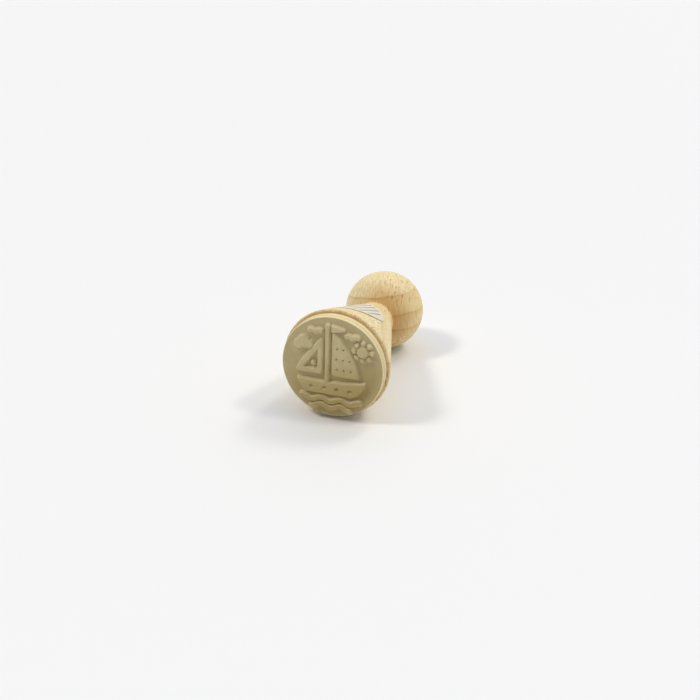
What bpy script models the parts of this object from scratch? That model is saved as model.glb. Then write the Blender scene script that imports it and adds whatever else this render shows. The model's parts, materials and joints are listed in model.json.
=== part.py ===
"""A small wooden hand stamp: a turned handle with a ball knob, a foam cushion and a rubber die.

The pieces are modelled standing on the printing face, with the stamp's axis along +Z and the
relief's flat tops at z = 0. Their parent empty then lays the stamp on its side, the way it comes
to rest on a table: on the rim of its base and on its ball. Metres, +Z up.
"""

from math import acos, atan2, cos, hypot, pi, radians, sin, sqrt, tan

import bmesh
import bpy
from mathutils import Matrix, Vector

MM = 0.001

# Rubber die: a disc with raised relief. The relief's tops are flat and lie in one plane.
DIE_RADIUS = 15.0 * MM
DIE_FLOOR = 1.0 * MM
RELIEF_HEIGHT = 1.0 * MM
RELIEF_SLOPE = 0.6 * MM
RELIEF_ROOT = 0.3 * MM
PIT_RADIUS = 0.28 * MM
PORTHOLE_RADIUS = 0.6 * MM
PIT_DEPTH = 0.5 * MM

# The artwork's margin, line widths, corner roundings and round shapes.
ART_MARGIN = 1.2 * MM
STROKE_WIDTH = 1.1 * MM
THIN_STROKE_WIDTH = 0.8 * MM
HULL_ROUNDING = 0.5 * MM
SAIL_ROUNDING = 0.6 * MM
PENNANT_ROUNDING = 0.2 * MM
OPENING_ROUNDING = 0.8 * MM
EMBLEM_RADIUS = 0.5 * MM
PUFF_RADII = (1.2 * MM, 1.6 * MM, 1.1 * MM)
SUN_RADIUS = 1.4 * MM
SUN_DOTS = 8
SUN_DOT_RADIUS = 0.4 * MM
SUN_DOT_DISTANCE = 2.5 * MM

# Its waves, as shares of the artwork's radius.
WAVE_LENGTH = 0.4133
WAVE_HEIGHT = 0.035

# The layers between die and handle, with the clearance left at each face.
FILM_THICKNESS = 0.1 * MM
FILM_INSET = 0.3 * MM
CUSHION_OVERHANG = 0.25 * MM
CUSHION_THICKNESS = 1.7 * MM
LAYER_GAP = 0.03 * MM

# Handle: a round base, a straight cone and a ball, turned in one piece.
RIM_RADIUS = 16.1 * MM
RIM_ROUNDING = 1.0 * MM
NECK_RADIUS = 6.05 * MM
BALL_RADIUS = 13.0 * MM
BASE_TO_BALL_CENTRE = 49.5 * MM

# Paper label: a round sheet, stuck on the cone a little to the left of its top.
LABEL_RADIUS = 13.0 * MM
LABEL_THICKNESS = 0.12 * MM
LABEL_GAP = 0.08 * MM
LABEL_FROM_BASE = 18.95 * MM
LABEL_TURN = radians(-18.7)

# Steps of the round shapes.
TURNED_SEGMENTS = 64
DIE_SEGMENTS = 96
BALL_STEPS = 24
CAP_STEPS = 6
CURVE_STEPS = 8
WAVE_STEPS = 8
CORNER_STEPS = 3
DISC_STEPS = 20
EMBLEM_STEPS = 12
PIT_STEPS = 10
DOT_STEPS = 8
LABEL_STEPS = 16

# A corner of the artwork flatter than this, each side of its bisector, isn't rounded.
SMOOTH_CORNER = radians(75)
# A rounding takes at most this share of the edges beside it.
ROUNDED_SHARE = 0.9
SHARP_EDGE = radians(30)
SAME_POINT = 1e-7

# Heights above the printing plane, from the die up.
DIE_TOP = RELIEF_HEIGHT + DIE_FLOOR
DIE_FILM_Z = DIE_TOP + LAYER_GAP
CUSHION_Z = DIE_FILM_Z + FILM_THICKNESS + LAYER_GAP
CUSHION_FILM_Z = CUSHION_Z + CUSHION_THICKNESS + LAYER_GAP
BASE_Z = CUSHION_FILM_Z + FILM_THICKNESS + LAYER_GAP
BALL_Z = BASE_Z + BASE_TO_BALL_CENTRE
NECK_Z = BALL_Z - sqrt(BALL_RADIUS**2 - NECK_RADIUS**2)

# The rim's rounding, as a circle in the turned profile, and the cone's line that runs off it.
ROUNDING_R = RIM_RADIUS - RIM_ROUNDING
ROUNDING_Z = BASE_Z + RIM_ROUNDING
TO_NECK = Vector((NECK_RADIUS - ROUNDING_R, NECK_Z - ROUNDING_Z))
CONE_ANGLE = atan2(TO_NECK.y, TO_NECK.x) - acos(RIM_ROUNDING / TO_NECK.length)

ART_RADIUS = DIE_RADIUS - ART_MARGIN


def clear_scene():
    for obj in list(bpy.data.objects):
        bpy.data.objects.remove(obj, do_unlink=True)


def material(name, colour, roughness):
    made = bpy.data.materials.new(name)
    made.use_nodes = True
    shader = made.node_tree.nodes["Principled BSDF"]
    shader.inputs["Base Color"].default_value = (*colour, 1.0)
    shader.inputs["Roughness"].default_value = roughness
    return made


def add_object(name, mesh, finish, parent):
    obj = bpy.data.objects.new(name, mesh)
    obj.data.materials.append(finish)
    obj.parent = parent
    bpy.context.scene.collection.objects.link(obj)
    return obj


def mesh_from(bm, name, closed=True):
    if closed:
        bmesh.ops.recalc_face_normals(bm, faces=bm.faces)
    mesh = bpy.data.meshes.new(name)
    bm.to_mesh(mesh)
    bm.free()
    return mesh


def smooth_shaded(mesh):
    mesh.shade_smooth()
    mesh.set_sharp_from_angle(angle=SHARP_EDGE)
    return mesh


def arc(centre, radius, start, end, steps):
    """Points on a circle in the plane, from one angle to another, both ends included."""
    angles = [start + (end - start) * i / steps for i in range(steps + 1)]
    return [Vector((centre[0] + radius * cos(a), centre[1] + radius * sin(a))) for a in angles]


def turned(name, profile):
    """A closed solid of revolution about Z, from (radius, z) points whose ends lie on the axis.

    A flat of the polygon faces +Y, the side that the stamp comes to lie on.
    """
    bm = bmesh.new()
    verts = [bm.verts.new((r, 0.0, z)) for r, z in profile]
    edges = [bm.edges.new(pair) for pair in zip(verts, verts[1:])]
    bmesh.ops.rotate(
        bm, verts=verts, cent=(0, 0, 0), matrix=Matrix.Rotation(pi / TURNED_SEGMENTS, 3, "Z")
    )
    bmesh.ops.spin(
        bm,
        geom=verts + edges,
        cent=(0, 0, 0),
        axis=(0, 0, 1),
        angle=2 * pi,
        steps=TURNED_SEGMENTS,
        use_merge=True,
    )
    bmesh.ops.remove_doubles(bm, verts=bm.verts, dist=SAME_POINT)
    return smooth_shaded(mesh_from(bm, name))


def handle_profile():
    rounding = arc((ROUNDING_R, ROUNDING_Z), RIM_ROUNDING, -pi / 2, CONE_ANGLE, CAP_STEPS)
    neck_angle = -acos(NECK_RADIUS / BALL_RADIUS)
    ball = arc((0.0, BALL_Z), BALL_RADIUS, neck_angle, pi / 2, BALL_STEPS)
    ball[-1].x = 0.0
    return [Vector((0.0, BASE_Z)), *rounding, *ball]


def disc_mesh(name, radius, low, high, segments):
    bm = bmesh.new()
    bmesh.ops.create_cone(
        bm,
        cap_ends=True,
        segments=segments,
        radius1=radius,
        radius2=radius,
        depth=high - low,
        matrix=Matrix.Translation((0, 0, (low + high) / 2)),
    )
    return smooth_shaded(mesh_from(bm, name))


def art(u, v):
    """A point of the artwork, drawn in a unit circle, u to the right and v up."""
    return Vector((u, v)) * ART_RADIUS


def curve(start, control, end):
    """A quadratic curve from start towards end, without its last point."""
    points = []
    for i in range(CURVE_STEPS):
        t = i / CURVE_STEPS
        points.append(start * (1 - t) ** 2 + control * 2 * t * (1 - t) + end * t**2)
    return points


def rounded(corners, radius):
    """A closed outline through these corners, in order, each rounded where it turns sharply."""
    outline = []
    count = len(corners)
    for i, corner in enumerate(corners):
        before = corners[i - 1] - corner
        after = corners[(i + 1) % count] - corner
        half = before.angle(after) / 2
        if half > SMOOTH_CORNER:
            outline.append(corner)
            continue
        room = ROUNDED_SHARE * min(before.length, after.length)
        reach = min(radius / tan(half), room)
        middle = (before.normalized() + after.normalized()).normalized()
        centre = corner + middle * reach / cos(half)
        first = corner + before.normalized() * reach - centre
        turn = first.angle_signed(corner + after.normalized() * reach - centre)
        for step in range(CORNER_STEPS + 1):
            outline.append(centre + Matrix.Rotation(-turn * step / CORNER_STEPS, 2) @ first)
    return outline


def directions(path, closed):
    """The unit direction of travel at each point of a path."""
    count = len(path)
    found = []
    for i in range(count):
        before = path[i - 1] if i or closed else path[i]
        after = path[(i + 1) % count] if i < count - 1 or closed else path[i]
        found.append((after - before).normalized())
    return found


def offset(path, distance, closed):
    """The path moved to its right by a distance."""
    return [
        point + Vector((way.y, -way.x)) * distance
        for point, way in zip(path, directions(path, closed))
    ]


def stroke(path, width):
    """The outline of a line of this width along an open path, with round ends."""
    ways = directions(path, False)
    half = width / 2
    outline = list(offset(path, half, False))
    for end, way in ((path[-1], ways[-1]), (path[0], -ways[0])):
        heading = atan2(way.y, way.x)
        outline += arc(end, half, heading - pi / 2, heading + pi / 2, CAP_STEPS)[1:-1]
        if end is path[-1]:
            outline += offset(path, -half, False)[::-1]
    return outline


def circle(centre, radius, steps):
    return arc(centre, radius, 0.0, 2 * pi, steps)[:-1]


def turns_left(outline):
    area = sum(a.x * b.y - a.y * b.x for a, b in zip(outline, outline[1:] + outline[:1]))
    return area > 0


def raised(outline, hole=None):
    """A raised shape of the relief: flat on top, sloped at its sides, rooted in the die's floor."""
    bm = bmesh.new()

    def ring(points, z):
        return [bm.verts.new((p.x, -p.y, z)) for p in points]

    def walls(first, second):
        for i in range(len(first)):
            j = (i + 1) % len(first)
            bm.faces.new((first[i], first[j], second[j], second[i]))

    tops = []
    roots = []
    for loop, spread in ((outline, RELIEF_SLOPE), (hole, -RELIEF_SLOPE)):
        if loop is None:
            continue
        if not turns_left(loop):
            loop = loop[::-1]
        sloped = offset(loop, spread, True)
        top = ring(loop, 0.0)
        foot = ring(sloped, RELIEF_HEIGHT)
        root = ring(sloped, RELIEF_HEIGHT + RELIEF_ROOT)
        walls(top, foot)
        walls(foot, root)
        tops.append(top)
        roots.append(root)
    for loops in (tops, roots):
        edges = [bm.edges.get((loop[i - 1], loop[i])) for loop in loops for i in range(len(loop))]
        bmesh.ops.triangle_fill(bm, edges=edges, use_beauty=True, normal=(0, 0, 1))
    return mesh_from(bm, "raised")


def hull():
    stern, bow = art(-0.74, -0.31), art(0.74, -0.24)
    heel, forefoot = art(-0.56, -0.57), art(0.44, -0.58)
    corners = [*curve(stern, art(0.0, -0.38), bow), *curve(bow, art(0.64, -0.50), forefoot)]
    corners += [forefoot, heel]
    return rounded(corners[::-1], HULL_ROUNDING)


def main_sail():
    peak, tack, clew = art(0.03, 0.78), art(0.03, -0.14), art(0.60, -0.14)
    corners = [tack, *curve(clew, art(0.53, 0.38), peak), peak]
    return rounded(corners, SAIL_ROUNDING)


def jib():
    """The small sail, as an outline and the opening inside it."""
    peak, tack, clew = art(-0.20, 0.62), art(-0.20, -0.14), art(-0.76, -0.14)
    outline = [tack, *curve(peak, art(-0.54, 0.28), clew), clew]
    opening = [art(-0.28, -0.06), art(-0.28, 0.44), art(-0.63, -0.06)]
    return rounded(outline, SAIL_ROUNDING), rounded(opening, OPENING_ROUNDING)


def wave(level, reach):
    """A line of water under the hull, from -reach to reach."""
    steps = round(2 * reach / WAVE_LENGTH * WAVE_STEPS)
    path = []
    for i in range(steps + 1):
        u = reach * (2 * i / steps - 1)
        path.append(art(u, level - WAVE_HEIGHT * cos(2 * pi * u / WAVE_LENGTH)))
    return stroke(path, STROKE_WIDTH)


def gull_wing(body, side):
    tip = body + art(side * 0.12, 0.03)
    path = [*curve(tip, body + art(side * 0.07, 0.055), body)[::2], body]
    return stroke(path, THIN_STROKE_WIDTH)


def cloud():
    centres = (art(-0.71, 0.44), art(-0.60, 0.51), art(-0.49, 0.46))
    return [circle(centre, radius, DISC_STEPS) for centre, radius in zip(centres, PUFF_RADII)]


def gulls():
    bodies = (art(-0.36, 0.75), art(0.42, 0.71))
    return [gull_wing(body, side) for body in bodies for side in (-1, 1)]


def sun():
    """A disc with a ring of dots round it."""
    centre = art(0.66, 0.45)
    shapes = [circle(centre, SUN_RADIUS, DISC_STEPS)]
    for i in range(SUN_DOTS):
        turn = Matrix.Rotation(2 * pi * i / SUN_DOTS, 2)
        dot = centre + turn @ Vector((SUN_DOT_DISTANCE, 0.0))
        shapes.append(circle(dot, SUN_DOT_RADIUS, DOT_STEPS))
    return shapes


def motif():
    """The outlines of the artwork's raised shapes, the one with an opening aside."""
    mast = stroke([art(-0.09, -0.30), art(-0.09, 0.90)], THIN_STROKE_WIDTH)
    pennant = rounded([art(0.0, 0.92), art(0.0, 0.79), art(0.27, 0.86)], PENNANT_ROUNDING)
    emblem = circle(art(-0.395, 0.07), EMBLEM_RADIUS, EMBLEM_STEPS)
    water = [wave(-0.72, 0.62), wave(-0.87, 0.4133)]
    return [hull(), main_sail(), *water, mast, pennant, emblem, *cloud(), *gulls(), *sun()]


def pits():
    """Centres and radii of the round pits: a few in the sail, and the hull's portholes."""
    rows = ((0.00, (0.13, 0.28, 0.43)), (0.22, (0.12, 0.26, 0.40)), (0.45, (0.13, 0.26)))
    found = [(art(u, v), PIT_RADIUS) for v, row in rows for u in row]
    found += [(art(u, -0.45), PORTHOLE_RADIUS) for u in (-0.42, -0.14, 0.14, 0.42)]
    return found


def join_to(obj, operation, name, mesh):
    """Adds or cuts this mesh from the object with a Boolean, through a hidden helper."""
    helper = bpy.data.objects.new(name, mesh)
    helper.parent = obj.parent
    helper.hide_render = True
    helper.display_type = "WIRE"
    bpy.context.scene.collection.objects.link(helper)
    cut = obj.modifiers.new(name, "BOOLEAN")
    cut.operation = operation
    cut.solver = "MANIFOLD"
    cut.object = helper


def make_die(parent, finish):
    disc = disc_mesh("rubber_die", DIE_RADIUS, RELIEF_HEIGHT, DIE_TOP, DIE_SEGMENTS)
    die = add_object("rubber_die", disc, finish, parent)
    join_to(die, "UNION", "jib", raised(*jib()))
    for i, outline in enumerate(motif()):
        join_to(die, "UNION", f"relief_{i}", raised(outline))
    for i, (centre, radius) in enumerate(pits()):
        mesh = disc_mesh("pit", radius, -PIT_DEPTH, PIT_DEPTH, PIT_STEPS)
        mesh.transform(Matrix.Translation((centre.x, -centre.y, 0.0)))
        join_to(die, "DIFFERENCE", f"pit_{i}", mesh)


def cone_point(along, around):
    """A flat sheet's point, rolled onto the cone: along towards the ball, around to the right."""
    apex_z = NECK_Z + NECK_RADIUS / tan(CONE_ANGLE)
    middle = (apex_z - BASE_Z - LABEL_FROM_BASE) / cos(CONE_ANGLE)
    x = middle - along
    slant = hypot(x, around)
    turn = LABEL_TURN + atan2(around, x) / sin(CONE_ANGLE)
    radius = slant * sin(CONE_ANGLE) + LABEL_GAP * cos(CONE_ANGLE)
    z = apex_z - slant * cos(CONE_ANGLE) + LABEL_GAP * sin(CONE_ANGLE)
    return Vector((radius * sin(turn), -radius * cos(turn), z))


def make_label(parent, finish):
    """A square grid bent into a disc, rolled onto the cone and made solid."""
    bm = bmesh.new()
    bmesh.ops.create_grid(bm, x_segments=LABEL_STEPS, y_segments=LABEL_STEPS, size=1.0)
    for vert in bm.verts:
        a, b = vert.co.xy
        around = LABEL_RADIUS * a * sqrt(1 - b**2 / 2)
        along = LABEL_RADIUS * b * sqrt(1 - a**2 / 2)
        vert.co = cone_point(along, around)
    sheet = mesh_from(bm, "paper_label", closed=False)
    paper = add_object("paper_label", sheet, finish, parent).modifiers.new("paper", "SOLIDIFY")
    paper.thickness = LABEL_THICKNESS
    paper.offset = 1.0


def resting_tilt():
    """How far the axis drops towards the ball when rim and ball both touch the table."""
    run = BALL_Z - ROUNDING_Z
    return acos((BALL_RADIUS - RIM_ROUNDING) / hypot(ROUNDING_R, run)) - atan2(run, ROUNDING_R)


def lay_down(stamp):
    """Lays the stamp on its side, printing face towards -Y, centred over the origin."""
    stamp.rotation_euler = (-(pi / 2 + resting_tilt()), 0.0, 0.0)
    bpy.context.view_layer.update()
    graph = bpy.context.evaluated_depsgraph_get()
    corners = []
    for obj in stamp.children:
        if obj.hide_render:
            continue
        shape = obj.evaluated_get(graph)
        corners += [shape.matrix_world @ vert.co for vert in shape.data.vertices]
    low = Vector([min(c[i] for c in corners) for i in range(3)])
    high = Vector([max(c[i] for c in corners) for i in range(3)])
    stamp.location = (-(low.x + high.x) / 2, -(low.y + high.y) / 2, -low.z)


def build():
    clear_scene()
    wood = material("beech", (0.78, 0.62, 0.40), 0.5)
    rubber = material("rubber", (0.30, 0.25, 0.14), 0.7)
    foam = material("foam", (0.83, 0.74, 0.52), 0.9)
    film = material("adhesive_film", (0.85, 0.83, 0.75), 0.3)
    paper = material("label_paper", (0.80, 0.79, 0.74), 0.6)

    stamp = bpy.data.objects.new("stamp", None)
    bpy.context.scene.collection.objects.link(stamp)

    add_object("handle", turned("handle", handle_profile()), wood, stamp)
    layers = (
        ("die_film", DIE_RADIUS - FILM_INSET, DIE_FILM_Z, FILM_THICKNESS, film),
        ("cushion", DIE_RADIUS + CUSHION_OVERHANG, CUSHION_Z, CUSHION_THICKNESS, foam),
        ("cushion_film", DIE_RADIUS - FILM_INSET, CUSHION_FILM_Z, FILM_THICKNESS, film),
    )
    for name, radius, low, thickness, finish in layers:
        layer = disc_mesh(name, radius, low, low + thickness, DIE_SEGMENTS)
        add_object(name, layer, finish, stamp)
    make_die(stamp, rubber)
    make_label(stamp, paper)
    lay_down(stamp)


build()
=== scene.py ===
# %% [markdown]
# # A wooden hand stamp, dressed for its picture
#
# The object is a small craft stamp that lies on its side on a table. A cone and a ball, turned
# from one piece of beech, make the handle. Under the cone's base sit a disc of cream foam and a
# disc of olive rubber with a raised picture, each held by a film of adhesive. A paper label is
# stuck round the cone.
#
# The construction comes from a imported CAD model, which this script loads and never changes. Here
# the same pieces get the fine shapes and the finishes that the eye looks for.

# %% Load the frame
import json
from math import acos, atan2, cos, hypot, pi, radians, sin, tan

import bmesh
import bpy
import numpy as np
from mathutils import Matrix, Vector, noise


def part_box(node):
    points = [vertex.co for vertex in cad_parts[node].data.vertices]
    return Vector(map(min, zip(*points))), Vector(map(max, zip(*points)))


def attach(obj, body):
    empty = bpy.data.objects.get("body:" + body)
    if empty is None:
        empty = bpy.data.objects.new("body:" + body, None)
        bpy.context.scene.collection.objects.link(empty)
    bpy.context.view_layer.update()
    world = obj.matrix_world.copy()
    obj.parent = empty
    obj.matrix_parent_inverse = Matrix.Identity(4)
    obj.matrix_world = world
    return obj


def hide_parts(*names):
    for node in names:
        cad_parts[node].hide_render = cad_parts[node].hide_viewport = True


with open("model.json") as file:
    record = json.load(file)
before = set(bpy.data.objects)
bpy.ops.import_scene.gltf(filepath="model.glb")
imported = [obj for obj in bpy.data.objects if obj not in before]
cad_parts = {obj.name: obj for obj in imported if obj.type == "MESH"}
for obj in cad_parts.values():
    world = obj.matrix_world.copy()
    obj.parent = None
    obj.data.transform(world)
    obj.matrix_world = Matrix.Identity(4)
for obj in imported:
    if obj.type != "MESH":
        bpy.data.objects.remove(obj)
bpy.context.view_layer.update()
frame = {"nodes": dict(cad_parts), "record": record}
MM = 0.001
print("pieces:", sorted(frame["nodes"]))

# %% [markdown]
# ## One place for everything
#
# A stamp is round about its own axis, but this one lies tilted on a table. Modelling it in the
# table's coordinates would put that tilt into every formula. So every piece is modelled in the
# stamp's own coordinates: x to the right and y up on the printing face, and z straight out of it,
# with the tops of the raised picture at z = 0. One matrix then lays them all in place. It is read
# from the frame: the mount tells where the face looks, and the round cushion is centred on the
# axis. Next to the table's coordinates, the stamp's are turned about x only, by nearly a right
# angle.

# %% The stamp's own coordinates
mount = frame["record"]["mounts"][0]
out = Vector(mount["axis"]).normalized()
right = Vector((1.0, 0.0, 0.0))
up = out.cross(right)
on_axis = sum(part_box("cushion"), Vector()) / 2
face_centre = on_axis + out * (Vector(mount["pos_m"]) - on_axis).dot(out)
stamp_place = Matrix((right, up, out)).transposed().to_4x4()
stamp_place.translation = face_centre
LYING = atan2(-out.y, out.z)


def reach(node):
    """Where a CAD piece starts and ends behind the printing face, in mm along the axis."""
    depths = [(face_centre - v.co).dot(out) / MM for v in frame["nodes"][node].data.vertices]
    return min(depths), max(depths)


def half_width(node):
    low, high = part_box(node)
    return (high.x - low.x) / 2 / MM


for name in ("rubber_die", "die_film", "cushion", "cushion_film", "handle"):
    print(name, "from %.2f to %.2f mm, radius %.2f mm" % (*reach(name), half_width(name)))

# %% [markdown]
# ## The camera
#
# The picture was taken from the front right, about a quarter of a metre away, and from above. A
# camera can be aimed with a constraint, but then its roll and the exact place of the object in the
# picture are left to chance. Here both are known, so the camera is placed by them: its direction
# from three angles, and its position so that the middle of the rubber's floor lands on the right
# pixel at the right distance.

# %% Set the camera
IMAGE_SIDE = 700
SENSOR_WIDTH = 36.0
FOCAL_PIXELS = 850.7
AZIMUTH, ELEVATION, ROLL = radians(18.23), radians(25.94), radians(0.81)
DIE_PIXEL = Vector((331.8, 367.6))
DIE_DISTANCE = 240 * MM
RELIEF_HEIGHT = 1.0

back = Vector((sin(AZIMUTH) * cos(ELEVATION), -cos(AZIMUTH) * cos(ELEVATION), sin(ELEVATION)))
level = Vector((cos(AZIMUTH), sin(AZIMUTH), 0.0))
picture_right = Matrix.Rotation(ROLL, 3, back) @ level
picture_up = back.cross(picture_right)
shift = (DIE_PIXEL - Vector((IMAGE_SIDE, IMAGE_SIDE)) / 2) * DIE_DISTANCE / FOCAL_PIXELS
die_floor_centre = face_centre - out * RELIEF_HEIGHT * MM

camera = bpy.data.objects.new("camera", bpy.data.cameras.new("camera"))
bpy.context.scene.collection.objects.link(camera)
camera.matrix_world = Matrix((picture_right, picture_up, back)).transposed().to_4x4()
camera.location = (
    die_floor_centre + back * DIE_DISTANCE - picture_right * shift.x + picture_up * shift.y
)
camera.data.sensor_width = SENSOR_WIDTH
camera.data.lens = FOCAL_PIXELS / IMAGE_SIDE * SENSOR_WIDTH
camera.data.clip_start = 0.01
bpy.context.scene.camera = camera
print("lens %.1f mm, camera at" % camera.data.lens, [round(v, 3) for v in camera.location])

# %% [markdown]
# ## Helpers for shader nodes
#
# Blender's shader editor is a drawing board, and a script that fills it line by line soon gets
# long. Two helpers keep it short. One adds a node and fills its inputs, each from a plain value or
# from another node's output. The other turns a colour, as a paint program shows it, into the
# linear numbers that a renderer works with.


# %% Add a node, name a colour
def add(tree, kind, inputs=None, **settings):
    """Adds a shader node. A value in inputs may be another node's output, which is then linked."""
    made = tree.nodes.new(kind)
    for name, value in settings.items():
        setattr(made, name, value)
    for name, value in (inputs or {}).items():
        if isinstance(value, bpy.types.NodeSocket):
            tree.links.new(value, made.inputs[name])
        else:
            made.inputs[name].default_value = value
    return made


def colour(red, green, blue):
    """A colour given from 0 to 255, as linear red, green, blue and alpha."""
    shares = np.array((red, green, blue)) / 255
    return (*np.where(shares > 0.04045, ((shares + 0.055) / 1.055) ** 2.4, shares / 12.92), 1.0)


def calculate(tree, operation, *values):
    made = add(tree, "ShaderNodeMath", dict(enumerate(values)), operation=operation)
    return made.outputs["Value"]


def ease(tree, value, start, end, low=0.0, high=1.0):
    """A smooth step: low before start, high after end."""
    inputs = {"Value": value, "From Min": start, "From Max": end, "To Min": low, "To Max": high}
    made = add(tree, "ShaderNodeMapRange", inputs, interpolation_type="SMOOTHSTEP")
    return made.outputs["Result"]


def mix(tree, share, first, second, blend="MIX"):
    inputs = {"Factor": share, 6: first, 7: second}
    return add(tree, "ShaderNodeMix", inputs, data_type="RGBA", blend_type=blend).outputs[2]


print("white paper is", [round(v, 3) for v in colour(240, 240, 240)])

# %% [markdown]
# ## Table and light
#
# The object throws three soft shadows, one to the right, one to the left and a faint one towards
# the camera, so three lamps hang above it: left in front, right, and behind. Where a shadow's far
# end lies tells how high its lamp is. Area lamps would do it near the object, but the table would
# fade into grey behind it, because their light falls off. Suns light the whole table evenly, and
# the angle they fill in the sky sets how soft their shadows are.
#
# The rest comes from the room: its ceiling is bright, and the side behind the camera is dark.
# Lamps and room add up to about 1 on a level surface, so a colour renders about as it is written.
# The lamps are a little warm and the room a little cool. Together they give white, and the shadows
# stay nearly grey although the wood throws its own warm light into them.
#
# A camera that looks past the table would see the room's dark side, and so would a reflection.
# Rays of both kinds, and those that pass through a surface, end at a pale backdrop instead.

# %% Suns
LAMP_TINT = (1.08, 1.0, 0.87)


def sun(name, share, width, azimuth, height):
    """A soft sun that gives this share of the table's light, from this direction in degrees."""
    turn, rise = radians(azimuth), radians(height)
    lamp = bpy.data.lights.new(name, "SUN")
    lamp.energy = share * pi / sin(rise)
    lamp.angle = radians(width)
    lamp.color = LAMP_TINT
    obj = bpy.data.objects.new(name, lamp)
    bpy.context.scene.collection.objects.link(obj)
    towards = Vector((sin(turn) * cos(rise), -cos(turn) * cos(rise), sin(rise)))
    obj.rotation_euler = towards.to_track_quat("Z", "Y").to_euler()
    print(name, "gives %.2f of the light" % share)


sun("left_lamp", 0.22, 12, 297, 52)
sun("right_lamp", 0.145, 9, 105, 55)
sun("back_lamp", 0.14, 14, 150, 53)

# %% Room
CEILING, HORIZON = 0.825, 0.30
BEHIND_CAMERA = 0.12
ROOM_TINT = (0.925, 1.0, 1.13, 1.0)

world = bpy.data.worlds.new("room")
world.use_nodes = True
tree = world.node_tree
looks = add(tree, "ShaderNodeTexCoord").outputs["Generated"]
looks = add(tree, "ShaderNodeSeparateXYZ", {"Vector": looks})
overhead = ease(tree, looks.outputs["Z"], -0.1, 1.0, HORIZON, CEILING)
behind = ease(tree, looks.outputs["Y"], -0.95, 0.15, BEHIND_CAMERA, 1.0)
room = tree.nodes["Background"]
room.inputs["Color"].default_value = ROOM_TINT
tree.links.new(calculate(tree, "MULTIPLY", overhead, behind), room.inputs["Strength"])
backdrop = add(tree, "ShaderNodeBackground", {"Color": colour(240, 240, 241)})
light_path = add(tree, "ShaderNodeLightPath")
seen = light_path.outputs["Is Camera Ray"]
for kind in ("Is Glossy Ray", "Is Transmission Ray"):
    seen = calculate(tree, "MAXIMUM", seen, light_path.outputs[kind])
inputs = {0: seen, 1: room.outputs["Background"], 2: backdrop.outputs["Background"]}
surroundings = add(tree, "ShaderNodeMixShader", inputs)
tree.links.new(surroundings.outputs["Shader"], tree.nodes["World Output"].inputs["Surface"])
bpy.context.scene.world = world
bpy.context.scene.view_settings.view_transform = "Standard"
print("the room's brightness is %.2f overhead and %.2f level" % (CEILING, HORIZON))

# %% Table
TABLE_SIDE = 12.0
table_mesh = bpy.data.meshes.new("table")
corners = [(x, y, 0.0) for x, y in ((-1, -1), (1, -1), (1, 1), (-1, 1))]
table_mesh.from_pydata(np.array(corners) * TABLE_SIDE / 2, [], [(0, 1, 2, 3)])
table = bpy.data.objects.new("table", table_mesh)
bpy.context.scene.collection.objects.link(table)

table_finish = bpy.data.materials.new("table")
table_finish.use_nodes = True
board = table_finish.node_tree.nodes["Principled BSDF"]
board.inputs["Base Color"].default_value = colour(242, 242, 242)
board.inputs["Roughness"].default_value = 0.6
board.inputs["Specular IOR Level"].default_value = 0.12
table_mesh.materials.append(table_finish)
print("the table is %.0f m wide" % TABLE_SIDE)

# %% [markdown]
# ## Helpers for pieces
#
# Each piece below is a mesh worked out in millimetres in the stamp's own coordinates. A helper
# lays the mesh in place, shades it smooth, gives it its finish and ties its object to the frame:
# it rides on the frame's one body. The finishes measure in the stamp's own millimetres too. For
# that, each material starts with a few nodes that turn the point that is shaded, and the way its
# surface faces, back from the table's coordinates.


# %% Make a piece, start a material
def add_piece(name, points, faces, finish, sharp=60):
    mesh = bpy.data.meshes.new(name)
    mesh.from_pydata((np.asarray(points) * MM).tolist(), [], [list(map(int, f)) for f in faces])
    mesh.transform(stamp_place)
    shell = bmesh.new()
    shell.from_mesh(mesh)
    bmesh.ops.recalc_face_normals(shell, faces=shell.faces)
    shell.to_mesh(mesh)
    shell.free()
    mesh.shade_smooth()
    mesh.set_sharp_from_angle(angle=radians(sharp))
    mesh.materials.append(finish)
    obj = bpy.data.objects.new(name, mesh)
    bpy.context.scene.collection.objects.link(obj)
    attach(obj, "root")
    print(name, "has", len(mesh.vertices), "points and", len(mesh.polygons), "faces")
    return obj


def turned_back(tree, vector):
    inputs = {"Vector": vector, "Angle": -LYING}
    return add(tree, "ShaderNodeVectorRotate", inputs, rotation_type="X_AXIS").outputs["Vector"]


def start_material(name, roughness, specular=0.5):
    """A new material: its node tree, its shader, the point in the stamp's own mm, its normal."""
    made = bpy.data.materials.new(name)
    made.use_nodes = True
    tree = made.node_tree
    shader = tree.nodes["Principled BSDF"]
    shader.inputs["Roughness"].default_value = roughness
    shader.inputs["Specular IOR Level"].default_value = specular
    where = add(tree, "ShaderNodeTexCoord")
    inputs = {0: where.outputs["Object"], 1: face_centre}
    from_face = add(tree, "ShaderNodeVectorMath", inputs, operation="SUBTRACT").outputs["Vector"]
    inputs = {0: turned_back(tree, from_face), "Scale": 1 / MM}
    point = add(tree, "ShaderNodeVectorMath", inputs, operation="SCALE").outputs["Vector"]
    return made, tree, shader, point, turned_back(tree, where.outputs["Normal"])


def stretched(tree, point, x, y, z):
    """The point with each of its coordinates scaled, which stretches what is drawn with it."""
    inputs = {0: point, 1: (x, y, z)}
    return add(tree, "ShaderNodeVectorMath", inputs, operation="MULTIPLY").outputs["Vector"]


def cloudy(tree, point, scale, detail=3.0, roughness=0.5):
    """Soft noise round 0.5, this many lumps to the mm."""
    inputs = {"Vector": point, "Scale": scale, "Detail": detail, "Roughness": roughness}
    return add(tree, "ShaderNodeTexNoise", inputs).outputs["Fac"]


def bump(tree, height, depth):
    """A bump as deep as this many mm where the height goes from 0 to 1."""
    inputs = {"Height": height, "Distance": depth * MM, "Strength": 1.0}
    return add(tree, "ShaderNodeBump", inputs).outputs["Normal"]


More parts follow.
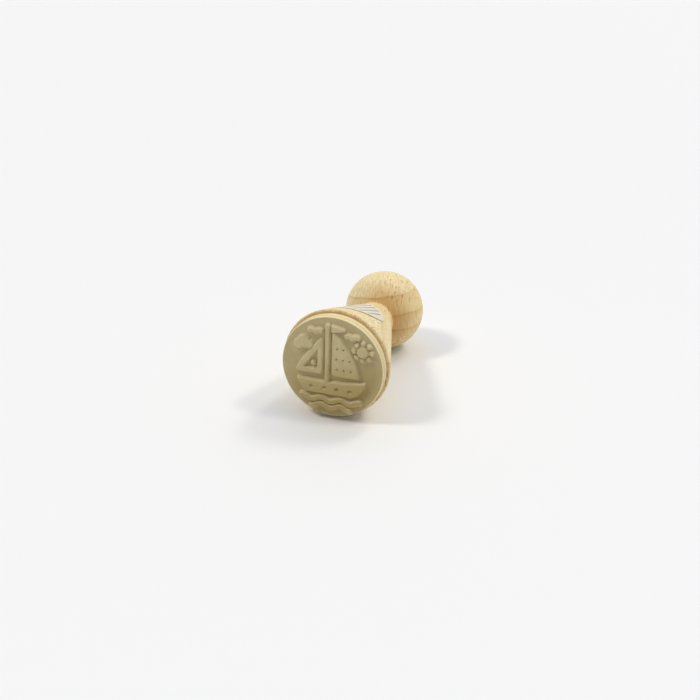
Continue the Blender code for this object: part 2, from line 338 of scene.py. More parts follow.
# %% [markdown]
# ## Beech, from the inside out
#
# Beech shows three things. Growth rings are shells round the tree's centre, a few millimetres
# thick, each darker towards its outer side. Rays are thin sheets that run from the centre outwards:
# seen end on they are small brown spindles, on the end grain they are fine lines across the rings,
# and seen flat they are broad silky flakes. Pores are tiny channels along the grain.
#
# Each of the three could be painted on each side of the handle. It is simpler and truer to define
# them once, as a block of wood in space, and let the turned shape cut through it, as the lathe
# does. The tree's centre lay below the handle, so the rings are nearly level, tipped a little to
# the left. They also wander a little, because no tree is quite round.

# %% The block: rings
RING_TILT = radians(8)
TREE_CENTRE = (14.0, -81.85)
RING_EDGES = (63.0, 68.6, 74.2, 79.8, 84.9, 90.95, 101.0)
WANDER = 1.6

beech, tree, beech_shader, point, facing = start_material("beech", 0.52, 0.35)

inputs = {0: point, 1: (*TREE_CENTRE, 0.0)}
from_centre = add(tree, "ShaderNodeVectorMath", inputs, operation="SUBTRACT").outputs["Vector"]
flat = stretched(tree, from_centre, 1, 1, 0)
radius = add(tree, "ShaderNodeVectorMath", {0: flat}, operation="LENGTH").outputs["Value"]
radius = calculate(tree, "SUBTRACT", radius, WANDER / 2)
wander = cloudy(tree, stretched(tree, point, 1, 1, 0.35), 0.09, 2.0)
radius = calculate(tree, "MULTIPLY_ADD", wander, WANDER, radius)
inputs = {"Value": radius, "From Min": RING_EDGES[0], "From Max": RING_EDGES[-1]}
along_rings = add(tree, "ShaderNodeMapRange", inputs).outputs["Result"]


def in_each_ring(*stops):
    """A value that goes through the same stops in each ring: (share of the ring's width, value)."""
    ramp = add(tree, "ShaderNodeValToRGB", {"Fac": along_rings})
    ramp.color_ramp.interpolation = "EASE"
    ramp.color_ramp.elements[1].color = (0.0, 0.0, 0.0, 1.0)
    for inner, outer in zip(RING_EDGES, RING_EDGES[1:]):
        for share, value in stops:
            place = inner + share * (outer - inner)
            place = (place - RING_EDGES[0]) / (RING_EDGES[-1] - RING_EDGES[0])
            ramp.color_ramp.elements.new(place).color = (value, value, value, 1.0)
    return ramp.outputs["Color"]


late_wood = in_each_ring((0.0, 0.0), (0.35, 0.0), (0.94, 1.0))
edge_line = in_each_ring((0.0, 0.0), (0.84, 0.0), (0.955, 1.0))
print("rings of", [round(b - a, 2) for a, b in zip(RING_EDGES, RING_EDGES[1:])], "mm")

# %% [markdown]
# ### Rays
#
# A Voronoi texture scatters points in space and measures the way to the nearest one. Stretched
# twenty times along the ray's direction and a few times along the grain, its round cells become
# long thin sheets. Each cell's random colour makes one ray thicker than the next. Two sizes are
# used, because beech has broad rays among many fine ones.


# %% The block: rays and pores
in_grain = add(
    tree, "ShaderNodeVectorRotate", {"Vector": point, "Angle": -RING_TILT}, rotation_type="Z_AXIS"
).outputs["Vector"]


def rays(width, length, depth, thinnest, thickest):
    """Sheets this wide across the grain, long along it and deep towards the centre, in mm."""
    inputs = {"Vector": stretched(tree, in_grain, 1 / width, 1 / depth, 1 / length), "Scale": 1.0}
    cells = add(tree, "ShaderNodeTexVoronoi", inputs)
    chance = add(tree, "ShaderNodeSeparateColor", {"Color": cells.outputs["Color"]}).outputs["Red"]
    size = ease(tree, chance, 0.0, 1.0, thinnest, thickest)
    inside = calculate(tree, "DIVIDE", cells.outputs["Distance"], size)
    return ease(tree, inside, 0.45, 1.0, 1.0, 0.0)


broad_rays = rays(0.44, 1.9, 9.0, 0.05, 0.42)
fine_rays = rays(0.24, 1.1, 5.0, 0.05, 0.38)
pores = ease(tree, cloudy(tree, stretched(tree, in_grain, 9, 9, 0.8), 1.0, 1.0), 0.56, 0.72)
print("beech has", len(tree.nodes), "nodes so far")

# %% [markdown]
# ### Rings, silk and pores
#
# The colours go on in layers. First comes each ring, which darkens outwards, with soft patches
# over it. Then comes the thin line where one year ends and the next begins. It fades in and out
# along its way, because a tree doesn't grow evenly all round. Fibres and pores are fine and faint,
# and silk is faint streaks that lie along the rays.
#
# Two shares steer these layers. Both come from the normal, so they change smoothly round the ball:
# how far the surface faces along the axis, where the grain ends, and how far it faces left or
# right, where rays are seen flat.

# %% Colour the rings and the grain
facing = add(tree, "ShaderNodeSeparateXYZ", {"Vector": facing})
place = add(tree, "ShaderNodeSeparateXYZ", {"Vector": point})
end_grain = ease(tree, calculate(tree, "ABSOLUTE", facing.outputs["Z"]), 0.3, 1.0)
flat_rays = ease(tree, calculate(tree, "ABSOLUTE", facing.outputs["X"]), 0.4, 1.0)

tone = cloudy(tree, stretched(tree, in_grain, 1, 1, 0.25), 0.18, 3.0)
silk = cloudy(tree, stretched(tree, in_grain, 3.0, 0.16, 0.6), 1.0, 2.0)
fibre = cloudy(tree, stretched(tree, in_grain, 5, 5, 0.35), 1.0, 3.0)
wood = mix(tree, late_wood, colour(249, 233, 182), colour(240, 216, 158))
wood = mix(tree, ease(tree, tone, 0.35, 0.7, 0.0, 0.45), wood, colour(241, 216, 167))
patchy = ease(tree, cloudy(tree, point, 0.22, 2.0), 0.36, 0.64, 0.45, 1.1)
line_share = calculate(tree, "MULTIPLY", ease(tree, end_grain, 0.0, 1.0, 0.24, 0.52), patchy)
wood = mix(tree, calculate(tree, "MULTIPLY", edge_line, line_share), wood, colour(178, 136, 84))
wood = mix(tree, ease(tree, fibre, 0.35, 0.75, 0.0, 0.14), wood, colour(196, 158, 106))
silk_share = ease(tree, flat_rays, 0.0, 1.0, 0.34, 0.2)
silk = calculate(tree, "MULTIPLY", ease(tree, silk, 0.42, 0.62), silk_share)
wood = mix(tree, silk, wood, colour(205, 170, 116))
wood = mix(tree, calculate(tree, "MULTIPLY", pores, 0.12), wood, colour(150, 110, 66))
print("beech has", len(tree.nodes), "nodes with its rings and pores coloured")

# %% [markdown]
# ### End grain, painted shade and rays
#
# Wood is darker where its grain ends, because the open channels swallow light. On a turned piece
# that is wherever the surface faces along the axis: the front and back of the ball, the base and
# its rounded rim. On the front of the ball the end grain is also painted darker and redder
# towards the right, as painted warm shade, and the ball's right side is a little yellower.
#
# The rays lie over all that. They fade where they are seen flat, and the broad ones are bolder
# towards the right.

# %% Colour the end grain and the rays
GRIP_MIDDLE = 46.0
GRIP_CORE, GRIP_EDGE = 8.0, 14.0
CONE_REDNESS = (0.25, 0.25, 0.25, 1.0)

from_grip = calculate(tree, "ABSOLUTE", calculate(tree, "ADD", place.outputs["Z"], GRIP_MIDDLE))
on_grip = ease(tree, from_grip, GRIP_CORE, GRIP_EDGE, 1.0, 0.0)
# Painted warm shade: on the ball's front the end grain darkens and reddens towards the right.
end_grain_and_shade = ease(tree, place.outputs["X"], -9.0, 5.0, 0.1, 0.85)
end_grain_and_shade = mix(tree, on_grip, CONE_REDNESS, end_grain_and_shade)
end_grain_and_shade = calculate(tree, "MULTIPLY", end_grain, end_grain_and_shade)
wood = mix(tree, end_grain_and_shade, wood, colour(223, 181, 116), "MULTIPLY")
yellowness = calculate(tree, "MULTIPLY", on_grip, ease(tree, facing.outputs["X"], 0.4, 1.0))
wood = mix(tree, yellowness, wood, colour(255, 246, 232), "MULTIPLY")

fine_share = ease(tree, flat_rays, 0.0, 1.0, 0.34, 0.12)
broad_share = ease(tree, flat_rays, 0.0, 1.0, 0.6, 0.2)
bolder = ease(tree, facing.outputs["X"], -0.35, 0.65, 0.3, 1.4)
broad_share = calculate(tree, "MULTIPLY", broad_share, bolder)
wood = mix(tree, calculate(tree, "MULTIPLY", fine_rays, fine_share), wood, colour(160, 116, 66))
wood = mix(tree, calculate(tree, "MULTIPLY", broad_rays, broad_share), wood, colour(160, 108, 54))
print("beech has", len(tree.nodes), "nodes with its rays coloured")

# %% [markdown]
# ### The stained and shaded rim
#
# A brown band runs round the base, in the crevice beside the foam. It is partly glue that has
# soaked into the end grain, with dust stuck to it, and partly painted shade in the crevice. Noise
# makes its edge blotchy. The rim is scuffed too, in orange streaks along the grain that reach a
# little further back. Both are weaker on the far right, where the rim is painted lighter as a
# painted highlight.

# %% Stain and scuff the rim
STAIN_AND_SHADE_START, STAIN_AND_SHADE_END = (-reach("handle")[0] - way for way in (0.1, 0.7))
BLOTCHES = 1.8
SCUFFS_START, SCUFFS_END = STAIN_AND_SHADE_START - 0.3, STAIN_AND_SHADE_START - 1.6

blotches = cloudy(tree, point, 0.4, 3.0)
blotchy_depth = calculate(tree, "MULTIPLY_ADD", blotches, BLOTCHES, place.outputs["Z"])
# Part glue stain, part painted shade in the crevice beside the foam.
stain_and_shade = ease(tree, blotchy_depth, STAIN_AND_SHADE_END + BLOTCHES / 2, STAIN_AND_SHADE_START + BLOTCHES / 2)
# Weaker towards the right: a painted highlight on that side of the rim.
rim_marks_share = ease(tree, place.outputs["X"], 8.0, 14.5, 0.37, 0.15)
wood = mix(tree, calculate(tree, "MULTIPLY", stain_and_shade, rim_marks_share), wood, colour(170, 134, 82))
streaks = cloudy(tree, stretched(tree, in_grain, 1.6, 1.6, 0.5), 1.0, 3.0)
scuffed = ease(tree, place.outputs["Z"], SCUFFS_END, SCUFFS_START)
scuffs = calculate(tree, "MULTIPLY", ease(tree, streaks, 0.46, 0.62), scuffed)
scuffs = calculate(tree, "MULTIPLY", scuffs, rim_marks_share)
wood = mix(tree, scuffs, wood, colour(184, 128, 66))
tree.links.new(wood, beech_shader.inputs["Base Color"])
print("scuffs fade out %.1f mm behind the printing face" % -SCUFFS_END)

# %% [markdown]
# ### The touch of the wood
#
# Sanded beech isn't glossy, but light still catches on it: fibres stand up by hundredths of a
# millimetre, and rays and pores lie a little deeper. That is too fine for a mesh, so it is a bump.

# %% Bump of the grain
hollows = calculate(tree, "ADD", calculate(tree, "MULTIPLY", broad_rays, 0.5), pores)
grain = calculate(tree, "SUBTRACT", fibre, hollows)
tree.links.new(bump(tree, grain, 0.02), beech_shader.inputs["Normal"])
print("beech has", len(tree.nodes), "nodes")

# %% [markdown]
# ## The handle, as the lathe makes it
#
# A turned piece is its profile swept round an axis. Blender's Screw modifier or the spin operator
# can do that. Here the profile is written as lines and arcs, and swept with a few lines of numpy,
# because the arrises need one thing more: the rim of a bare wooden stamp is never quite even, so
# its edge gets small dents. The neck, where cone and ball meet, keeps the small fillet that
# sandpaper leaves. The CAD solid has flats, so the round surface stays just inside its corners.

# %% Profile of the handle
RIM_ROUNDING = 1.0
NECK_RADIUS = 6.05
BALL_RADIUS = 13.0
NECK_FILLET = 0.6
INSIDE = 0.03

base, end = reach("handle")
rim_radius = half_width("handle") - INSIDE / 2
ball_centre = end - BALL_RADIUS
ball_radius = BALL_RADIUS - INSIDE


def arc(centre, radius, start, stop, step):
    """Points on a circle, about this many mm apart. A point is (distance from the axis, depth)."""
    count = max(2, round(abs(stop - start) * radius / step))
    angles = np.linspace(start, stop, count + 1)
    return np.c_[centre[0] + radius * np.cos(angles), centre[1] + radius * np.sin(angles)]


rounding = np.array((rim_radius - RIM_ROUNDING, base + RIM_ROUNDING))
neck = np.array((NECK_RADIUS, ball_centre - np.sqrt(BALL_RADIUS**2 - NECK_RADIUS**2)))
to_neck = neck - rounding
cone_turn = atan2(to_neck[1], to_neck[0]) - acos(RIM_ROUNDING / hypot(*to_neck))
outward = np.array((cos(cone_turn), sin(cone_turn)))
along_cone = np.array((-outward[1], outward[0]))
cone_start = rounding + outward * RIM_ROUNDING
print("the cone leans by %.2f degrees" % np.degrees(cone_turn))

# %% Fillet at the neck
# The fillet's circle touches the cone's line from outside, and the ball from outside.
line_offset = (cone_start + outward * NECK_FILLET) - np.array((0.0, ball_centre))
half = line_offset @ along_cone
apart = line_offset @ line_offset - (ball_radius + NECK_FILLET) ** 2
fillet_centre = cone_start + outward * NECK_FILLET + along_cone * (-half - np.sqrt(half**2 - apart))
to_ball = fillet_centre - np.array((0.0, ball_centre))
ball_turn = atan2(to_ball[1], to_ball[0])

profile = np.concatenate((
    [(0.0, base)],
    np.c_[np.linspace(1, rounding[0] - 0.5, 12), np.full(12, base)],
    arc(rounding, RIM_ROUNDING, -pi / 2, cone_turn, 0.12),
    np.linspace(cone_start, fillet_centre - outward * NECK_FILLET, 48)[1:],
    arc(fillet_centre, NECK_FILLET, cone_turn + pi, ball_turn + pi, 0.1)[1:],
    arc((0.0, ball_centre), ball_radius, ball_turn, pi / 2, 0.5)[1:],
))
profile[-1, 0] = 0.0
print("the profile has", len(profile), "points, and its neck lies at %.1f mm" % fillet_centre[1])

# %% Sweep it round
HANDLE_SEGMENTS = 224


def swept(outline, segments):
    """Points and faces of a profile swept round the axis. The profile's ends lie on the axis."""
    angles = np.arange(segments) * 2 * pi / segments
    rings = outline[1:-1]
    points = [(0.0, 0.0, -outline[0][1])]
    for away, depth in rings:
        points += zip(away * np.sin(angles), away * np.cos(angles), np.full(segments, -depth))
    points.append((0.0, 0.0, -outline[-1][1]))
    faces = []
    for turn in range(segments):
        beside = (turn + 1) % segments
        faces.append((0, 1 + turn, 1 + beside))
        for low in range(1, 1 + (len(rings) - 1) * segments, segments):
            faces.append((low + turn, low + segments + turn, low + segments + beside, low + beside))
        last = len(points) - 1
        faces.append((last - segments + turn, last, last - segments + beside))
    return np.array(points), faces


points, faces = swept(profile, HANDLE_SEGMENTS)
DENT = 0.09
for spot in points:
    if spot[2] > -base - 1.3 * RIM_ROUNDING and hypot(*spot[:2]) > rounding[0] - 0.4:
        worn = noise.noise(Vector(spot) * 0.45) + 0.5 * noise.noise(Vector(spot) * 1.7)
        spot[:2] *= 1 - DENT * max(0.0, worn) / rim_radius
handle = add_piece("turned_handle", points, faces, beech, sharp=40)
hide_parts("handle")

# %% [markdown]
# ## Foam with a cut edge
#
# The cushion is a disc of closed-cell foam, punched out of a sheet. Only its edge shows, and there
# the knife has opened the cells: the edge is a field of tiny round pits, drawn in a little at its
# middle where the knife squeezed the sheet. A bump texture would shade such pits, but their
# outline against the light would stay straight, so they are real dents in a fine mesh. Blender's
# own Voronoi noise gives the way to the nearest cell's middle at any point.

# %% The foam's shape
CELL = 0.34
PIT = 0.07
PIT_REACH = 0.45
SHALLOWEST = 0.2
DRAWN_IN = 0.07
CORNER = 0.09
FILM_GAP, RUBBER_GAP = 0.05, 0.02
EDGE_STEPS = 18
FOAM_SEGMENTS = 900

foam_top, foam_bottom = reach("cushion")
foam_radius = half_width("cushion")
lip_radius = half_width("die_film") + FILM_GAP
lip_top = reach("rubber_die")[1] + RUBBER_GAP
edge = []
for share in np.linspace(0, 1, EDGE_STEPS + 1):
    corner = CORNER * (max(0.0, 1 - share * 12) ** 2 + max(0.0, share * 12 - 11) ** 2)
    squeezed = DRAWN_IN * sin(pi * share) ** 2
    edge.append((foam_radius - corner - squeezed, lip_top + (foam_bottom - lip_top) * share))
outline = np.array([(0.0, foam_top), (lip_radius, foam_top), (lip_radius, lip_top), *edge,
                    (lip_radius, foam_bottom), (0.0, foam_bottom)])
points, faces = swept(outline, FOAM_SEGMENTS)
for spot in points:
    if hypot(*spot[:2]) > foam_radius - 0.3:
        near = noise.voronoi(Vector(spot) / CELL)[0][0]
        hollow = max(0.0, 1 - (near / PIT_REACH) ** 2)
        lump = 0.5 + noise.noise(Vector(spot) * 0.8)
        spot[:2] *= 1 - PIT * hollow * max(SHALLOWEST, lump) / foam_radius
print("the foam's cells are %.2f mm wide and open to about %.2f mm deep" % (CELL, PIT))

# %% The foam's finish
foam, tree, foam_shader, point, _ = start_material("cream_foam", 0.85, 0.25)
cells = add(tree, "ShaderNodeTexVoronoi", {"Vector": point, "Scale": 1 / CELL}).outputs["Distance"]
skin = cloudy(tree, point, 0.5, 2.0)
cream = mix(tree, ease(tree, cells, 0.1, 0.5), colour(219, 198, 144), colour(238, 221, 171))
cream = mix(tree, ease(tree, skin, 0.35, 0.65, 0.0, 0.35), cream, colour(225, 203, 157))
tree.links.new(cream, foam_shader.inputs["Base Color"])
tree.links.new(bump(tree, cloudy(tree, point, 9.0, 2.0), 0.012), foam_shader.inputs["Normal"])

cushion = add_piece("foam_cushion", points, faces, foam)
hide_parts("cushion")

# %% [markdown]
# ## Adhesive film
#
# Both films are a tenth of a millimetre thick and lie just inside the edge, so they show only as
# a thin glossy line. Their CAD discs already have that shape, and they just get a finish: clear
# yellowish glue, cloudy with trapped air and a little dust at the edge.

# %% Finish the films
film, tree, film_shader, point, _ = start_material("clear_glue", 0.3, 0.5)
dust = cloudy(tree, point, 1.2, 4.0)
glue = mix(tree, ease(tree, dust, 0.4, 0.65), colour(196, 176, 130), colour(160, 140, 98))
tree.links.new(glue, film_shader.inputs["Base Color"])
tree.links.new(bump(tree, dust, 0.02), film_shader.inputs["Normal"])
for name in ("die_film", "cushion_film"):
    frame["nodes"][name].data.materials.clear()
    frame["nodes"][name].data.materials.append(film)
    print(name, "is %.2f mm thick" % (reach(name)[1] - reach(name)[0]))

# %% [markdown]
# ## The raised picture
#
# A rubber die is pressed in a mould. Its picture stands a millimetre high on sloping sides, so
# that thin lines don't fold over in use, and its edges are soft. Extruding flat outlines and
# bevelling them goes wrong wherever two slopes meet. A height map doesn't: for each point of the
# rubber, one measures the distance to the nearest shape, and the distance gives the height.
#
# Three kinds of shape are enough for a sailing boat at sea: a filled outline, a line of some width,
# and a disc. Each is a function that gives the distance to its edge, less than zero inside it.


# %% Distances to shapes
def to_path(points, path):
    """The distance from each point to the nearest part of an open path."""
    nearest = np.full(len(points), np.inf)
    for start, stop in zip(path, path[1:]):
        step = stop - start
        share = np.clip((points - start) @ step / (step @ step + 1e-12), 0, 1)
        nearest = np.minimum(nearest, np.hypot(*(points - start - np.outer(share, step)).T))
    return nearest


def to_outline(points, outline):
    """The distance to a closed outline, less than zero inside it."""
    closed = np.append(outline, outline[:1], axis=0)
    inside = np.zeros(len(points), bool)
    for start, stop in zip(closed, closed[1:]):
        crossing = (start[1] > points[:, 1]) != (stop[1] > points[:, 1])
        lean = (stop[0] - start[0]) / (stop[1] - start[1] + 1e-12)
        inside ^= crossing & (points[:, 0] < start[0] + (points[:, 1] - start[1]) * lean)
    return np.where(inside, -1, 1) * to_path(points, closed)


def curve(start, control, stop, steps=10):
    """Points on a quadratic curve, both ends included."""
    t = np.linspace(0, 1, steps + 1)[:, None]
    return (1 - t) ** 2 * start + 2 * t * (1 - t) * control + t**2 * stop


def softened(corners, length):
    """An outline whose corners are each cut back by a short curve of about this length."""
    outline = []
    for i, corner in enumerate(corners):
        ends = []
        for beside in (corners[i - 1], corners[(i + 1) % len(corners)]):
            way = beside - corner
            distance = hypot(*way)
            ends.append(corner + way / distance * min(length, distance / 2))
        outline.extend(curve(ends[0], corner, ends[1], 4))
    return np.array(outline)


# %% [markdown]
# The boat is drawn in a circle of radius 1, which the artwork's radius turns into millimetres.
# All shapes are collected as functions of the points, because the grid that they will be
# measured on is made later.

# %% Draw the boat, the sea and the sky
DIE_RADIUS = half_width("rubber_die")
ART_RADIUS = DIE_RADIUS - 1.2
LINE, THIN_LINE = 1.1, 0.8


def art(*pair):
    return np.array(pair) * ART_RADIUS


hull = softened(np.concatenate((
    curve(art(-0.74, -0.31), art(0.0, -0.38), art(0.74, -0.24)),
    curve(art(0.74, -0.24), art(0.64, -0.50), art(0.44, -0.58))[1:],
    [art(-0.56, -0.57)],
)), 0.7)
main_sail = softened(np.concatenate((
    [art(0.03, -0.14)],
    curve(art(0.60, -0.14), art(0.53, 0.38), art(0.03, 0.78)),
)), 0.8)
jib = softened(np.concatenate((
    [art(-0.20, -0.14)],
    curve(art(-0.20, 0.62), art(-0.54, 0.28), art(-0.76, -0.14)),
)), 0.8)
jib_opening = softened([art(-0.28, -0.06), art(-0.28, 0.44), art(-0.63, -0.06)], 1.2)
pennant = softened([art(0.0, 0.92), art(0.0, 0.79), art(0.27, 0.86)], 0.4)
mast = [art(-0.09, -0.30), art(-0.09, 0.90)]

shapes = [lambda p, o=outline: to_outline(p, o) for outline in (hull, main_sail, pennant)]
shapes.append(lambda p: np.maximum(to_outline(p, jib), -to_outline(p, jib_opening)))
shapes.append(lambda p: to_path(p, mast) - THIN_LINE / 2)
print(len(shapes), "shapes make the boat")

# %% Waves, cloud, gulls and sun
WAVE_LENGTH, WAVE_HEIGHT = 0.4133, 0.035
CLOUD = ((-0.71, 0.44, 1.2), (-0.60, 0.51, 1.6), (-0.49, 0.46, 1.1))
JIB_DOT = (-0.395, 0.07, 0.5)
SUN_RADIUS = 1.4
SUN_DOTS, DOT_RADIUS, DOTS_AWAY = 8, 0.4, 2.5


def line(path, width):
    return lambda p: to_path(p, path) - width / 2


def disc(centre, radius):
    return lambda p: np.hypot(*(p - centre).T) - radius


for water_level, half_length in ((-0.72, 0.62), (-0.87, WAVE_LENGTH)):
    u = np.linspace(-half_length, half_length, 40)
    v = water_level - WAVE_HEIGHT * np.cos(2 * pi * u / WAVE_LENGTH)
    shapes.append(line(np.c_[u, v] * ART_RADIUS, LINE))
for u, v, radius in (*CLOUD, JIB_DOT):
    shapes.append(disc(art(u, v), radius))
for body in (art(-0.36, 0.75), art(0.42, 0.71)):
    for side in (-1, 1):
        wing = curve(body + art(side * 0.12, 0.03), body + art(side * 0.07, 0.055), body)
        shapes.append(line(wing, THIN_LINE))
sun_centre = art(0.66, 0.45)
shapes.append(disc(sun_centre, SUN_RADIUS))
for i in range(SUN_DOTS):
    turn = 2 * pi * i / SUN_DOTS
    shapes.append(disc(sun_centre + DOTS_AWAY * np.array((cos(turn), sin(turn))), DOT_RADIUS))
print(len(shapes), "raised shapes")

# %% Small pits in the sail, portholes in the hull
SAIL_PIT, PORTHOLE = 0.28, 0.6
SUNK = 0.5
SAIL_ROWS = ((0.00, (0.13, 0.28, 0.43)), (0.22, (0.12, 0.26, 0.40)), (0.45, (0.13, 0.26)))

pits = [(art(u, v), SAIL_PIT) for v, row in SAIL_ROWS for u in row]
pits += [(art(u, -0.45), PORTHOLE) for u in (-0.42, -0.14, 0.14, 0.42)]
print(len(pits), "pits")

# %% [markdown]
# ### From distances to rubber
#
# The height map needs a grid that covers a disc. A square grid clipped to a circle has a ragged
# edge, and rings round a centre have needle-thin faces there. A square can also be bent into a
# disc: each point moves in by a share that depends on where it lies in the other direction. All
# faces stay four-sided, and the outermost row is an exact circle, ready for the disc's side.


# %% Height map on a bent grid
def bent_grid(steps, radius):
    """A square grid bent into a disc: its points, its faces and each row's point numbers."""
    a, b = np.meshgrid(*[np.linspace(-radius, radius, steps + 1)] * 2)
    bent = (a * np.sqrt(1 - (b / radius) ** 2 / 2), b * np.sqrt(1 - (a / radius) ** 2 / 2))
    spots = np.stack(bent)
    rows = np.arange((steps + 1) ** 2).reshape(steps + 1, steps + 1)
    corners = np.stack((rows[:-1, :-1], rows[:-1, 1:], rows[1:, 1:], rows[1:, :-1]))
    return spots.reshape(2, -1).T, corners.reshape(4, -1).T.tolist(), rows


GRID = 236
SLOPE = 0.6
SHOULDER = 0.10
UNEVENNESS = 0.03

flat, faces, index = bent_grid(GRID, DIE_RADIUS)
nearest = np.full(len(flat), np.inf)
for shape in shapes:
    nearest = np.minimum(nearest, shape(flat))
share = np.clip((SLOPE + SHOULDER - nearest) / (SLOPE + 2 * SHOULDER), 0, 1)
height = share**2 * (3 - 2 * share)
for centre, radius in pits:
    away = np.hypot(*(flat - centre).T) / radius
    height -= SUNK * np.clip(1.15 - away**2, 0, 1) ** 0.6
lumps = [noise.noise(Vector((x * 0.35, y * 0.35, 7.0))) for x, y in flat]
height -= UNEVENNESS * (1 - share) * (0.5 + np.array(lumps))
print("the picture covers %.0f%% of the die" % (100 * np.mean(nearest < 0)))

# %% [markdown]
# The disc's side is a few more rows of points, down to its back. Each row is given by how far it
# stands out, in millimetres, and by its share of the way down. The rows make the side flare out a
# little towards the foam.

# %% Close the disc
ROUNDED_OFF = 0.05
SIDE_ROWS = ((0.0, 0.05), (0.0, 0.3), (0.03, 0.6), (0.09, 0.88), (0.14, 1.0))

rim = [*index[0, :-1], *index[:-1, -1], *index[-1, :0:-1], *index[:0:-1, 0]]
points = np.c_[flat, (height - 1) * RELIEF_HEIGHT]
points[rim, :2] *= 1 - ROUNDED_OFF / DIE_RADIUS
points = points.tolist()
die_back = -reach("rubber_die")[1]
above = rim
for flare, share in SIDE_ROWS:
    z = -RELIEF_HEIGHT + (die_back + RELIEF_HEIGHT) * share
    first = len(points)
    for i in rim:
        x, y = flat[i] * (1 + flare / DIE_RADIUS)
        points.append((x, y, z))
    below = list(range(first, len(points)))
    faces += [(above[i], below[i], below[i - 1], above[i - 1]) for i in range(len(rim))]
    above = below
faces.append(above)
print("the rubber is %.2f mm thick under the picture" % (-die_back - RELIEF_HEIGHT))

# %% [markdown]
# ### Olive rubber
#
# The rubber is dull, and the same all through. What gives it life is small: a fine skin from the
# mould, a floor painted a little darker than the tops as painted shade in the hollows, and a
# painted highlight on whatever faces up, which brings out the upper slope of every line. The
# rubber is also painted darker and yellower towards the lower right as painted shade, though
# less so near the edge, and the cut edge itself is pale.
#
# The height is known at each point, because the tops lie at z = 0 in the stamp's coordinates, and
# the object's own normal says which way a point faces.

# %% Finish the rubber
CUT_START, CUT_END = DIE_RADIUS - 0.16, DIE_RADIUS - 0.06
SHADE_FADE_START, SHADE_FADE_END = DIE_RADIUS - 3.0, DIE_RADIUS - 0.4

rubber, tree, rubber_shader, point, facing = start_material("olive_rubber", 0.68, 0.3)
place = add(tree, "ShaderNodeSeparateXYZ", {"Vector": point})
z = place.outputs["Z"]
to_top_left = calculate(tree, "MULTIPLY_ADD", place.outputs["X"], -0.3, place.outputs["Y"])
faces_up = add(tree, "ShaderNodeSeparateXYZ", {"Vector": facing}).outputs["Y"]
flat = stretched(tree, point, 1, 1, 0)
away = add(tree, "ShaderNodeVectorMath", {0: flat}, operation="LENGTH").outputs["Value"]
cut_edge = ease(tree, away, CUT_START, CUT_END, 0.0, 0.85)
raised = ease(tree, z, -0.9, -0.1)
mottle = cloudy(tree, point, 0.35, 4.0)
speck = ease(tree, cloudy(tree, point, 4.0, 2.0), 0.62, 0.75)
# Painted shade in the hollows: the floor is painted a little darker than the tops.
olive = mix(tree, raised, colour(205, 189, 142), colour(218, 203, 156))
# Painted shade: darker and yellower towards the lower right, fading near the edge.
lower_right_shade = ease(tree, to_top_left, -11.0, 7.0, 0.7, 0.0)
edge_fade = ease(tree, away, SHADE_FADE_START, SHADE_FADE_END, 1.0, 0.4)
lower_right_shade = calculate(tree, "MULTIPLY", lower_right_shade, edge_fade)
olive = mix(tree, lower_right_shade, olive, colour(200, 177, 104), "MULTIPLY")
olive = mix(tree, ease(tree, mottle, 0.35, 0.7, 0.0, 0.3), olive, colour(182, 164, 115))
olive = mix(tree, calculate(tree, "MULTIPLY", speck, 0.12), olive, colour(120, 100, 64))
# Painted highlight: surfaces that face up are painted paler, bringing out each line's upper slope.
olive = mix(tree, ease(tree, faces_up, 0.15, 0.85, 0.0, 0.75), olive, colour(222, 208, 163))
olive = mix(tree, cut_edge, olive, colour(240, 224, 179))
tree.links.new(olive, rubber_shader.inputs["Base Color"])
skin = calculate(tree, "ADD", cloudy(tree, point, 6.0, 3.0), cloudy(tree, point, 1.2, 2.0))
tree.links.new(bump(tree, skin, 0.02), rubber_shader.inputs["Normal"])

die = add_piece("rubber_relief", points, faces, rubber)
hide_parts("rubber_die")

# %% [markdown]
# ## The paper label
#
# The label is a round piece of self-adhesive paper. It can't be bent in two directions at once, so
# on a cone it lies as any flat sheet would: rolled up. That is done with the cone's own unrolled
# plane, in which the cone is a fan round its tip. Each point of the flat label has a distance and
# an angle there, and both are taken over to the cone. Its edge has come loose a little on the
# right, towards the base, where it throws a thin dark line of shadow. A Solidify modifier gives the
# sheet its thickness in the end.

# %% The label's shape
LABEL_RADIUS = 12.9
LABEL_FROM_BASE = 18.95
LABEL_TURN = radians(-18.7)
LABEL_STEPS = 72
PAPER = 0.04
LIFT = 0.01
LOOSE_EDGE = 0.14
LOOSE_FROM = 0.75
LOOSE_TOWARDS = radians(30)

lean = sin(cone_turn)
tip = neck[1] + NECK_RADIUS / tan(cone_turn)
label_middle = (tip - base - LABEL_FROM_BASE) / cos(cone_turn)


def on_cone(along, around, lift):
    """A point of the flat label, rolled onto the cone and raised off it."""
    x = label_middle - along
    slant = hypot(x, around)
    turn = LABEL_TURN + atan2(around, x) / lean
    away = slant * lean + lift * cos(cone_turn)
    return away * sin(turn), away * cos(turn), -(tip - slant * cos(cone_turn) + lift * lean)


sheet_points, faces, index = bent_grid(LABEL_STEPS, LABEL_RADIUS)
grid = []
for around, along in sheet_points:
    towards = max(0.0, cos(atan2(along, around) + LOOSE_TOWARDS)) ** 4
    outside = max(0.0, hypot(along, around) / LABEL_RADIUS - LOOSE_FROM) / (1 - LOOSE_FROM)
    grid.append(on_cone(along, around, LIFT + LOOSE_EDGE * towards * outside))
print("the label is %.1f mm across" % (2 * LABEL_RADIUS))

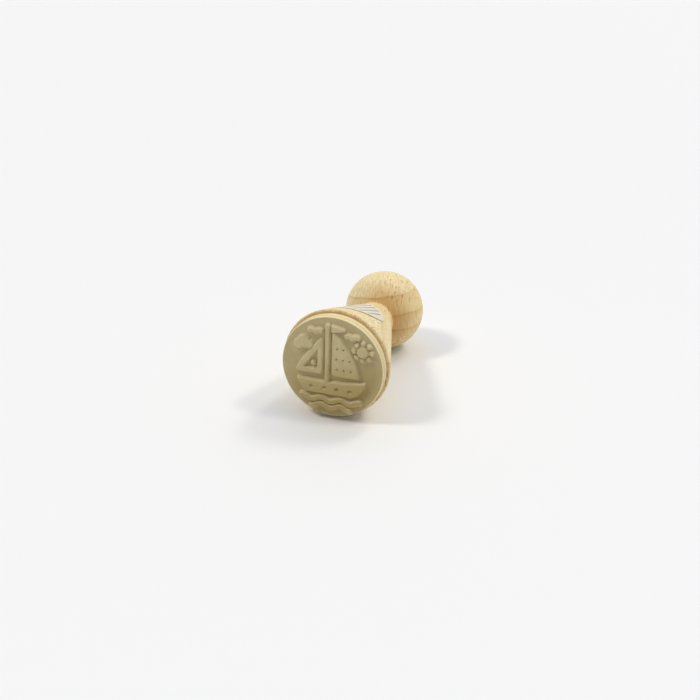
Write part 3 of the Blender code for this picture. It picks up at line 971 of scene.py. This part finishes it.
# %% [markdown]
# ### Printed stripes
#
# The label carries a few plain stripes in a cool grey. They follow the paper and not the cone, so
# each point of the mesh keeps its place on the flat label as a UV, in millimetres, and the
# stripes are drawn in that plane. The ink is thin, so the paper's fibres still show through it.

# %% Finish the label
STRIPE_SPACING = 1.95
STRIPE_WIDTH = 0.75
FIRST_STRIPE = 0.05
STRIPE_SLANT = 0.035
PRINTED_RADIUS = 11.1
INK_BLUR = 0.03

paper, tree, paper_shader, point, _ = start_material("label_paper", 0.62, 0.35)
own = next(n for n in tree.nodes if n.bl_idname == "ShaderNodeTexCoord")
sheet = add(tree, "ShaderNodeSeparateXYZ", {"Vector": own.outputs["UV"]})
across = calculate(tree, "MULTIPLY_ADD", sheet.outputs["Y"], -STRIPE_SLANT, sheet.outputs["X"])
across = calculate(tree, "SUBTRACT", across, FIRST_STRIPE)
across = calculate(tree, "FRACT", calculate(tree, "MULTIPLY_ADD", across, 1 / STRIPE_SPACING, 0.5))
from_stripe = calculate(tree, "ABSOLUTE", calculate(tree, "SUBTRACT", across, 0.5))
thickness = STRIPE_WIDTH / STRIPE_SPACING / 2
stripe = ease(tree, from_stripe, thickness - INK_BLUR, thickness + INK_BLUR, 1.0, 0.0)
from_middle = add(tree, "ShaderNodeVectorMath", {0: own.outputs["UV"]}, operation="LENGTH")
from_middle = from_middle.outputs["Value"]
printed = ease(tree, from_middle, PRINTED_RADIUS - 0.1, PRINTED_RADIUS, 1.0, 0.0)
ink = calculate(tree, "MULTIPLY", stripe, printed)
fibres = cloudy(tree, point, 3.0, 5.0, 0.65)
white = mix(tree, ease(tree, fibres, 0.3, 0.7), colour(221, 211, 186), colour(235, 227, 203))
white = mix(tree, calculate(tree, "MULTIPLY", ink, 0.75), white, colour(142, 142, 146))
tree.links.new(white, paper_shader.inputs["Base Color"])
tree.links.new(bump(tree, fibres, 0.01), paper_shader.inputs["Normal"])

label = add_piece("striped_label", grid, faces, paper)
flat_label = label.data.uv_layers.new(name="label")
for loop in label.data.loops:
    flat_label.data[loop.index].uv = sheet_points[loop.vertex_index]
thick = label.modifiers.new("paper", "SOLIDIFY")
thick.thickness = PAPER * MM
thick.offset = 1.0
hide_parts("paper_label")
